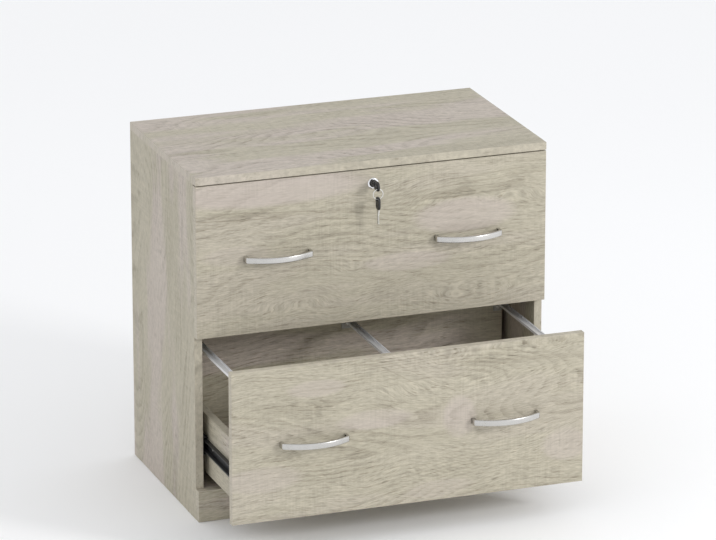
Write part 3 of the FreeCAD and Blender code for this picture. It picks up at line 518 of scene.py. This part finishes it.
def soften(shell, width, segments, sharper=25, below=180):
    """Round the outward edges that turn by an angle between two limits, in degrees."""
    edges = []
    for edge in shell.edges:
        if edge.is_manifold and sharper < math.degrees(edge.calc_face_angle_signed()) < below:
            edges.append(edge)
    bevel(shell, edges, width, segments)


def finished(name, shell, finish, body, *replaced):
    """Turn a shell into a finished piece that rides on a body and stands for nodes."""
    mesh = bpy.data.meshes.new(name)
    shell.to_mesh(mesh)
    shell.free()
    mesh.materials.append(finish.material)
    mesh.shade_smooth()
    mesh.set_sharp_from_angle(angle=math.radians(SHARP_ANGLE))
    piece = bpy.data.objects.new(name, mesh)
    bpy.context.scene.collection.objects.link(piece)
    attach(piece, body)
    if replaced:
        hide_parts(*replaced)


def spun(profile, steps=32):
    """A closed shell from (radius, height) points in millimetres, turned round Z."""
    shell = bmesh.new()
    line = [shell.verts.new((radius * MM, 0, height * MM)) for radius, height in profile]
    edges = [shell.edges.new(pair) for pair in zip(line, line[1:])]
    if profile[0][0] and profile[-1][0]:
        edges.append(shell.edges.new((line[-1], line[0])))
    bmesh.ops.spin(shell, geom=line + edges, cent=(0, 0, 0), axis=(0, 0, 1), angle=math.tau, steps=steps,
                   use_merge=True)
    bmesh.ops.remove_doubles(shell, verts=shell.verts, dist=WELD)
    bmesh.ops.recalc_face_normals(shell, faces=shell.faces)
    return shell


def block(shell, low, high):
    """Add a block between two corners in millimetres, and return its corners."""
    made = bmesh.ops.create_cube(shell, size=1.0)["verts"]
    size = Vector(high) - Vector(low)
    bmesh.ops.scale(shell, vec=size * MM, verts=made)
    bmesh.ops.translate(shell, vec=(Vector(high) + Vector(low)) / 2 * MM, verts=made)
    return made


def prism(shell, outline, low, high, taper):
    """Add a prism on an outline in millimetres. Its upper end is smaller by the taper."""
    ends = []
    for height, scale in ((low, 1.0), (high, taper)):
        corners = [(across * scale * MM, along * scale * MM, height * MM) for across, along in outline]
        ends.append([shell.verts.new(corner) for corner in corners])
    shell.faces.new(list(reversed(ends[0])))
    shell.faces.new(ends[1])
    for number in range(len(outline)):
        after = (number + 1) % len(outline)
        shell.faces.new((ends[0][number], ends[0][after], ends[1][after], ends[1][number]))


def stored(shell):
    """Keep a shell as a mesh, to be copied or cut. The shell is used up."""
    mesh = bpy.data.meshes.new("master")
    shell.to_mesh(mesh)
    shell.free()
    return mesh


def carved(shell, cutter):
    """The shell with the cutter's shape taken out of it. Both are used up."""
    meshes = [stored(shell), stored(cutter)]
    whole, tool = [bpy.data.objects.new("cut", mesh) for mesh in meshes]
    for item in (whole, tool):
        bpy.context.scene.collection.objects.link(item)
    cut = whole.modifiers.new("cut", "BOOLEAN")
    cut.operation = "DIFFERENCE"
    cut.solver = "EXACT"
    cut.object = tool
    result = bmesh.new()
    result.from_object(whole, bpy.context.evaluated_depsgraph_get())
    for item, mesh in zip((whole, tool), meshes):
        bpy.data.objects.remove(item)
        bpy.data.meshes.remove(mesh)
    return result


def put(shell, master, place):
    """Add a copy of a master mesh at a place."""
    before = set(shell.verts)
    shell.from_mesh(master)
    bmesh.ops.transform(shell, matrix=place, verts=[vert for vert in shell.verts if vert not in before])


def moved(shell, place):
    """The whole shell, moved and turned to a place."""
    bmesh.ops.transform(shell, matrix=place, verts=shell.verts)
    return shell


def pointing(spot, direction):
    """A place at a spot whose Z runs along a direction."""
    return Matrix.Translation(spot) @ Vector(direction).to_track_quat("Z", "Y").to_matrix().to_4x4()


def islands(node):
    """The separate solids of a node, each a list of its corner places."""
    shell = merged(node)
    seen = set()
    found = []
    for start in shell.verts:
        if start in seen:
            continue
        seen.add(start)
        grown = [start]
        for vert in grown:
            for edge in vert.link_edges:
                other = edge.other_vert(vert)
                if other not in seen:
                    seen.add(other)
                    grown.append(other)
        found.append([vert.co.copy() for vert in grown])
    shell.free()
    return found


def extent(corners):
    """The middle and the size of a set of corners."""
    low = Vector([min(corner[axis] for corner in corners) for axis in range(3)])
    high = Vector([max(corner[axis] for corner in corners) for axis in range(3)])
    return (low + high) / 2, high - low


# Screws and cam fittings, in millimetres. Each points along +Z, with zero where its head rests. A cam pin's
# zero is its middle.

FLAT_SCREW = [
    (0, -0.32), (1.6, -0.3), (3.0, -0.17), (3.55, -0.03), (3.55, 0.0), (2.9, 0.05), (1.5, 1.9), (1.5, 12.6),
    (0.4, 14), (0, 14),
]
PAN_HEAD = 2
PAN_SCREW = [
    (0, -PAN_HEAD), (1.5, -1.93), (2.6, -1.6), (3.2, -1.05), (3.4, -0.4), (3.4, 0), (1.5, 0), (1.5, 12.6),
    (0.4, 14), (0, 14),
]
BOLT_HEAD = 2.4
HANDLE_BOLT = [
    (0, -BOLT_HEAD), (1.8, -2.32), (3.1, -1.9), (3.7, -1.2), (3.9, -0.5), (3.9, 0), (1.75, 0), (1.75, 23.4),
    (1.3, 24), (0, 24),
]
DISC_RIM = 0.4
CAM_DISC = [
    (0, -DISC_RIM), (6.9, -DISC_RIM), (7.5, -0.25), (7.7, 0.0), (6.4, 0.02), (6.4, 4.3), (1.8, 4.3),
    (1.8, 12.4), (0, 12.4),
]
CAM_PIN = [
    (0, -16.5), (2.2, -16.5), (2.55, -16.1), (2.55, -14.6), (1.6, -14.2), (1.6, -12.2), (2.55, -11.8),
    (2.55, 8), (2.3, 8.4), (2.55, 8.8), (2.3, 9.2), (2.55, 9.6), (2.3, 10), (2.55, 10.4), (2.3, 10.8),
    (2.55, 11.2), (2.55, 16), (2.1, 16.5), (0, 16.5),
]
DISC_POINTER = ((-0.5, 4.6, -1.4), (0.5, 5.8, 0.2))
DISC_STEPS = 48
PIN_STEPS = 24

# Flat screws and cam discs are shorter than this, and pan screws and cam pins are longer
LONG_FASTENER = 15 * MM


def cross_recess(width, thick, depth, top):
    """A tapered cross that cuts a screw head's drive."""
    long = width / 2
    short = thick / 2
    outline = []
    for quarter in range(4):
        for across, along in ((long, short), (short, short), (short, long)):
            for _ in range(quarter):
                across, along = -along, across
            outline.append((across, along))
    cutter = bmesh.new()
    prism(cutter, outline, top - 1, top + depth, 0.5)
    return cutter


flat_screw = stored(carved(spun(FLAT_SCREW), cross_recess(3.8, 0.9, 1.6, -0.32)))
pan_screw = stored(carved(spun(PAN_SCREW), cross_recess(3.6, 0.9, 1.5, -PAN_HEAD)))
handle_bolt = stored(carved(spun(HANDLE_BOLT), cross_recess(4.4, 1.0, 1.6, -BOLT_HEAD)))
disc_cutter = cross_recess(7.6, 1.5, 1.8, -DISC_RIM)
block(disc_cutter, *DISC_POINTER)
cam_disc = stored(carved(spun(CAM_DISC, DISC_STEPS), disc_cutter))
cam_pin = stored(spun(CAM_PIN, PIN_STEPS))


def standing(corners):
    """Where a plain fastener's head end is, the way that it points, and its length."""
    middle, size = extent(corners)
    levels = [len({round(corner[axis] / MM, 1) for corner in corners}) for axis in range(3)]
    axis = levels.index(min(levels))
    across = [number for number in range(3) if number != axis]

    def widest(sign):
        end = [corner for corner in corners if (corner[axis] - middle[axis]) * sign > size[axis] * 0.4]
        return max(abs(corner[number] - middle[number]) for corner in end for number in across)

    sign = 1 if widest(-1) > widest(1) else -1
    direction = Vector([sign if number == axis else 0 for number in range(3)])
    return middle - direction * size[axis] / 2, direction, size[axis]


def fasteners(name, node, body, choose):
    """Round fasteners where a node's plain ones stand. Each is chosen by the plain one's length."""
    shell = bmesh.new()
    for corners in islands(node):
        spot, direction, length = standing(corners)
        master, head = choose(length)
        put(shell, master, pointing(spot + direction * head * MM, direction))
    finished(name, shell, zinc, body, node)


def wood_screw(length):
    """The screw for a plain one's length, and how far its head stands up."""
    return (pan_screw, PAN_HEAD) if length > LONG_FASTENER else (flat_screw, 0)


def cam_set(drawer):
    """A drawer box's cam discs and the pins that they grip. Each pin's neck is towards its disc."""
    shell = bmesh.new()
    fittings = [standing(corners) for corners in islands(drawer + "_cam_fittings")]
    disc_spots = [spot for spot, direction, length in fittings if length < LONG_FASTENER]
    for spot, direction, length in fittings:
        if length < LONG_FASTENER:
            put(shell, cam_disc, pointing(spot, direction))
        else:
            middle = spot + direction * length / 2
            nearest = min(disc_spots, key=lambda disc: (disc - middle).length)
            put(shell, cam_pin, pointing(middle, (0, math.copysign(1, middle.y - nearest.y), 0)))
    finished(drawer + "_cam_set", shell, zinc, drawer + "_drawer", drawer + "_cam_fittings")


fasteners("case_screws_driven", "case_screws", "case", wood_screw)
fasteners("case_cam_discs_turned", "case_cam_discs", "case", lambda length: (cam_disc, 0))
for drawer in DRAWERS:
    body = drawer + "_drawer"
    fasteners(drawer + "_drawer_screws_driven", drawer + "_drawer_screws", body, wood_screw)
    fasteners(drawer + "_handle_screws_driven", drawer + "_handle_screws", body,
              lambda length: (handle_bolt, BOLT_HEAD))
    cam_set(drawer)


# Handles and brackets keep their shape, with rounded edges


def round_bow(shell, outside, width, segments):
    """Round the long edges on the outside or inside of a bow handle, clear of the board it stands on."""
    middle, size = extent([vert.co for vert in shell.verts])
    root = Vector((middle.x, middle.y + size.y / 2, middle.z))
    edges = []
    for edge in shell.edges:
        spot = (edge.verts[0].co + edge.verts[1].co) / 2
        sides = [face.normal for face in edge.link_faces if abs(face.normal.z) < 0.5]
        level = [face for face in edge.link_faces if abs(face.normal.z) > 0.9]
        on_board = max(vert.co.y for vert in edge.verts) > root.y - 0.01 * MM and spot.y > root.y - MM
        if sides and level and not on_board and (sides[0].dot(spot - root) > 0) == outside:
            edges.append(edge)
    bevel(shell, edges, width, segments)


for drawer in DRAWERS:
    for side in ("left", "right"):
        node = f"{drawer}_{side}_handle"
        handle = merged(node)
        soften(handle, 4.0, 4, sharper=40, below=80)
        round_bow(handle, outside=True, width=2.6, segments=6)
        round_bow(handle, outside=False, width=1.0, segments=3)
        finished(node + "_bow", handle, nickel, drawer + "_drawer", node)
    brackets = merged(drawer + "_rail_brackets")
    soften(brackets, 0.35, 2)
    finished(drawer + "_bracket_set", brackets, grey_plastic, drawer + "_drawer",
             drawer + "_rail_brackets")


# Ball cages, in millimetres in from the case's inner wall and up from the slide's middle height

CASE_HALF_INSIDE = 335
STRIP_OUTLINE = [(1.6, 13.8), (8.5, 13.8), (8.5, 13.0), (2.4, 13.0)]
BALL_RADIUS = 2.7
BALL_IN = 6.25
BALL_UP = 13.4
BALL_STEPS = (-33, -11, 11, 33)

ball_master = bmesh.new()
bmesh.ops.create_icosphere(ball_master, subdivisions=3, radius=BALL_RADIUS * MM)
ball = stored(ball_master)


def ball_cage(drawer, side, sign):
    """A bright strip bent round the inner slide, and two rows of round balls. The left sign is -1."""
    node = f"{drawer}_{side}_ball_cage"
    middle, size = extent([Vector(corner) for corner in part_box(node)])
    wall = sign * CASE_HALF_INSIDE * MM
    rear = middle.y - size.y / 2
    shell = bmesh.new()
    outline = STRIP_OUTLINE + [(across, -up) for across, up in reversed(STRIP_OUTLINE)]
    corners = [(wall - sign * across * MM, rear, middle.z + up * MM) for across, up in outline]
    end = shell.faces.new([shell.verts.new(corner) for corner in corners])
    grown = bmesh.ops.extrude_face_region(shell, geom=[end])["geom"]
    far_end = [item for item in grown if isinstance(item, bmesh.types.BMVert)]
    bmesh.ops.translate(shell, vec=(0, size.y, 0), verts=far_end)
    bmesh.ops.recalc_face_normals(shell, faces=shell.faces)
    soften(shell, 0.3, 2)
    for up in (BALL_UP, -BALL_UP):
        for step in BALL_STEPS:
            spot = Vector((wall - sign * BALL_IN * MM, middle.y + step * MM, middle.z + up * MM))
            put(shell, ball, Matrix.Translation(spot))
    finished(node + "_set", shell, bright, drawer + "_ball_cages", node)


for drawer in DRAWERS:
    ball_cage(drawer, "left", -1)
    ball_cage(drawer, "right", 1)


# The lock, in millimetres on its own axis, with zero at the front's outside and +Z into the cabinet

FRONT_FACE = -7.5
LOCK_HEIGHT = 634
INWARDS = (0, 1, 0)
HOUSING = [
    (7.3, -1.1), (7.3, -2.1), (7.6, -2.5), (9.4, -2.5), (10.3, -2.2), (10.8, -1.6), (11, -0.9), (11, 0),
    (7.85, 0), (7.85, 21.2), (7.6, 21.4), (6.25, 21.4), (6.25, -0.9), (6.25, -1.0),
]
PLUG = [
    (0, -2.2), (5.4, -2.2), (5.9, -2.5), (6.9, -2.5), (7.2, -2.2), (7.2, -1.05), (6.05, -1.0), (6.05, 21.4),
    (0, 21.4),
]
KEYWAY = ((-1.1, -4.1, -3), (1.1, 4.1, 19.4))
SQUARE_TAIL = ((-3, -3, 21.4), (3, 3, 23.5))
LOCK_STEPS = 72

at_lock = pointing(Vector((0, FRONT_FACE * MM, LOCK_HEIGHT * MM)), INWARDS)
housing = spun(HOUSING, LOCK_STEPS)
finished("lock_housing_turned", moved(housing, at_lock), chrome, "upper_drawer", "lock_housing")

keyway = bmesh.new()
block(keyway, *KEYWAY)
plug = carved(spun(PLUG, LOCK_STEPS), keyway)
block(plug, *SQUARE_TAIL)
finished("lock_plug_turned", moved(plug, at_lock), gunmetal, "lock_plug", "lock_plug")


# Keys, in millimetres: a moulded bow with a slot for the ring, and a steel blade cut on both edges. The
# blade starts at zero and runs along +Z, and Y runs through its thickness.

BOW_HALF = 9
BOW_THICK = 4
BOW_CORNER = 7.9
BOW_END = 31
SHOULDER = 6.5
RING_SLOT = ((-6, -4, -28), (6, 4, -23))
DISH_LOW = (-4.5, -0.5, -19.5)
DISH_HIGH = (4.5, 0.5, -11.5)
DISH_OUT = 2.1
BLADE_HALF = 4
BLADE_SIDE = 1
BLADE_LENGTH = 21.8
CUT_DEPTHS = (1.2, 2.0, 0.9, 1.6, 1.1)
FIRST_CUT = 4.6
CUT_PITCH = 3.1
CUT_HALF = 0.7
CUT_FLARE = 2.4
CUT_CLEARANCE = 0.01
GROOVE_HALF = 0.7
GROOVE_DEPTH = 0.35
TIP_CUTTER = ((-3, -2, -1.5), (3, 2, 1.5))
COLLAR = [(-5.6, -1.3), (5.6, -1.3), (5.6, 1.3), (-5.6, 1.3)]
COLLAR_TAPER = 0.78
KEY_STANDS_OUT = 2.6


def upright_edges(shell):
    """The edges of a flat block that run through its thickness."""
    return [edge for edge in shell.edges if abs(edge.verts[0].co.y - edge.verts[1].co.y) > MM]


def key_bow(place):
    """A bow with rounded corners, dished sides and a slot for the ring."""
    bow = bmesh.new()
    block(bow, (-BOW_HALF, -BOW_THICK / 2, -BOW_END), (BOW_HALF, BOW_THICK / 2, -SHOULDER))
    bevel(bow, upright_edges(bow), BOW_CORNER, 10)
    soften(bow, 0.7, 3, 60)
    cutter = bmesh.new()
    block(cutter, *RING_SLOT)
    bevel(cutter, upright_edges(cutter), 1.2, 4)
    for face in (-1, 1):
        out = Vector((0, face * DISH_OUT, 0))
        block(cutter, Vector(DISH_LOW) + out, Vector(DISH_HIGH) + out)
    return moved(carved(bow, cutter), place)


def key_blade(place):
    """A flat steel blade: pointed end, a groove in each side, cuts in both edges and a tapered collar."""
    blade = bmesh.new()
    block(blade, (-BLADE_HALF, -BLADE_SIDE, -2), (BLADE_HALF, BLADE_SIDE, BLADE_LENGTH))
    cutter = bmesh.new()
    for number, depth in enumerate(CUT_DEPTHS):
        along = FIRST_CUT + number * CUT_PITCH
        for edge in (-1, 1):
            root = edge * (BLADE_HALF - CUT_CLEARANCE - depth)
            outside = edge * (BLADE_HALF + 1)
            cut = block(cutter, (min(root, outside), -2, along - CUT_HALF),
                        (max(root, outside), 2, along + CUT_HALF))
            mouth = [vert for vert in cut if vert.co.x * edge > (BLADE_HALF + 0.5) * MM]
            bmesh.ops.scale(cutter, vec=(1, 1, CUT_FLARE), verts=mouth,
                            space=Matrix.Translation((0, 0, -along * MM)))
    for face in (-1, 1):
        side = face * BLADE_SIDE
        block(cutter, (-GROOVE_HALF, side - GROOVE_DEPTH, 0.5),
              (GROOVE_HALF, side + GROOVE_DEPTH, BLADE_LENGTH + 1))
    for edge in (-1, 1):
        tip = block(cutter, *TIP_CUTTER)
        spot = Matrix.Translation((edge * (BLADE_HALF + 0.6) * MM, 0, (BLADE_LENGTH + 0.6) * MM))
        slant = Matrix.Rotation(math.radians(45 * edge), 4, "Y")
        bmesh.ops.transform(cutter, matrix=spot @ slant, verts=tip)
    blade = carved(blade, cutter)
    collar = bmesh.new()
    prism(collar, COLLAR, -SHOULDER - 0.4, 0, COLLAR_TAPER)
    soften(collar, 0.4, 3)
    put(blade, stored(collar), Matrix())
    return moved(blade, place)


upright = Matrix.Rotation(math.radians(90), 4, "Z")
downwards = Matrix.Rotation(math.radians(180), 4, "X")
seat = Vector((0, (FRONT_FACE - KEY_STANDS_OUT) * MM, LOCK_HEIGHT * MM))
spare_low, spare_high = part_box("spare_key")
hook = Vector((0, (spare_low[1] + spare_high[1]) / 2, spare_low[2] + BLADE_LENGTH * MM))
key_places = {
    "key": pointing(seat, INWARDS) @ upright,
    "spare_key": Matrix.Translation(hook) @ downwards @ upright,
}
for node, place in key_places.items():
    finished(node + "_bow", key_bow(place), key_plastic, node, node)
    finished(node + "_blade", key_blade(place), zinc, node)


# The split ring, in millimetres: one flat wire wound nearly twice

WIRE_SECTION = [(9.05, -0.76), (10.5, -0.76), (10.5, -0.04), (9.05, -0.04)]
RING_TURNS = 1.94
RING_RISE = 0.8
RING_STEPS = 126

split_ring = bmesh.new()
wire_end = split_ring.faces.new([split_ring.verts.new((out * MM, 0, up * MM)) for out, up in WIRE_SECTION])
bmesh.ops.spin(split_ring, geom=[wire_end], cent=(0, 0, 0), axis=(0, 0, 1),
               dvec=(0, 0, RING_RISE * MM / RING_STEPS), angle=math.tau * RING_TURNS, steps=RING_STEPS)
bmesh.ops.recalc_face_normals(split_ring, faces=split_ring.faces)
soften(split_ring, 0.16, 2, 50)
ring_middle = extent([Vector(corner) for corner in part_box("key_ring")])[0]
finished("key_ring_split", moved(split_ring, pointing(ring_middle, INWARDS)), zinc, "key_ring", "key_ring")


# Floor, light and camera

FLOOR_SIZE = 60
FLOOR_DROP = 0.5 * MM
STUDIO_WHITE = (0.97, 0.98, 1.0, 1.0)
STUDIO_STRENGTH = 0.94
SUBJECT_MIDDLE = (0, 0, 0.35)
FOCAL_LENGTH_IN_PIXELS = 5000
PICTURE_WIDTH_IN_PIXELS = 716
SENSOR_WIDTH = 36
CAMERA_PLACE = (-3.0942, -8.4177, 3.3676)
CAMERA_TILT = 17.96
CAMERA_TURN = -20.02

bpy.ops.mesh.primitive_plane_add(size=FLOOR_SIZE)
floor = bpy.context.object
floor.name = "floor"
floor.location.z = -FLOOR_DROP
paper = Finish("pale_floor", Roughness=0.9)
cloud = paper.places.stretched((0.7, 0.7, 0.7)).noise(2.0, 0.5)
paper.feed("Base Color", paper.mix(cloud, (0.94, 0.94, 0.94), (0.96, 0.96, 0.96)))
floor.data.materials.append(paper.material)

world = bpy.data.worlds.new("studio")
world.use_nodes = True
sky = world.node_tree.nodes["Background"].inputs
sky["Color"].default_value = STUDIO_WHITE
sky["Strength"].default_value = STUDIO_STRENGTH
bpy.context.scene.world = world


def softbox(name, place, size, power):
    """A square lamp in metres and watts that faces the cabinet."""
    lamp = bpy.data.lights.new(name, "AREA")
    lamp.shape = "RECTANGLE"
    lamp.size = size
    lamp.size_y = size
    lamp.energy = power
    light = bpy.data.objects.new(name, lamp)
    light.location = place
    light.rotation_euler = (Vector(SUBJECT_MIDDLE) - Vector(place)).to_track_quat("-Z", "Y").to_euler()
    bpy.context.scene.collection.objects.link(light)


softbox("key_light", (3.3, -3.6, 2.4), 1.0, 95)
softbox("fill_light", (-3.6, -1.2, 1.8), 2.4, 4)

camera = bpy.data.cameras.new("camera")
camera.sensor_width = SENSOR_WIDTH
camera.lens = FOCAL_LENGTH_IN_PIXELS / PICTURE_WIDTH_IN_PIXELS * SENSOR_WIDTH
camera.clip_end = 100
eye = bpy.data.objects.new("camera", camera)
eye.location = CAMERA_PLACE
eye.rotation_euler = (math.radians(90 - CAMERA_TILT), 0, math.radians(CAMERA_TURN))
bpy.context.scene.collection.objects.link(eye)
bpy.context.scene.camera = eye
bpy.context.scene.view_settings.view_transform = "Standard"
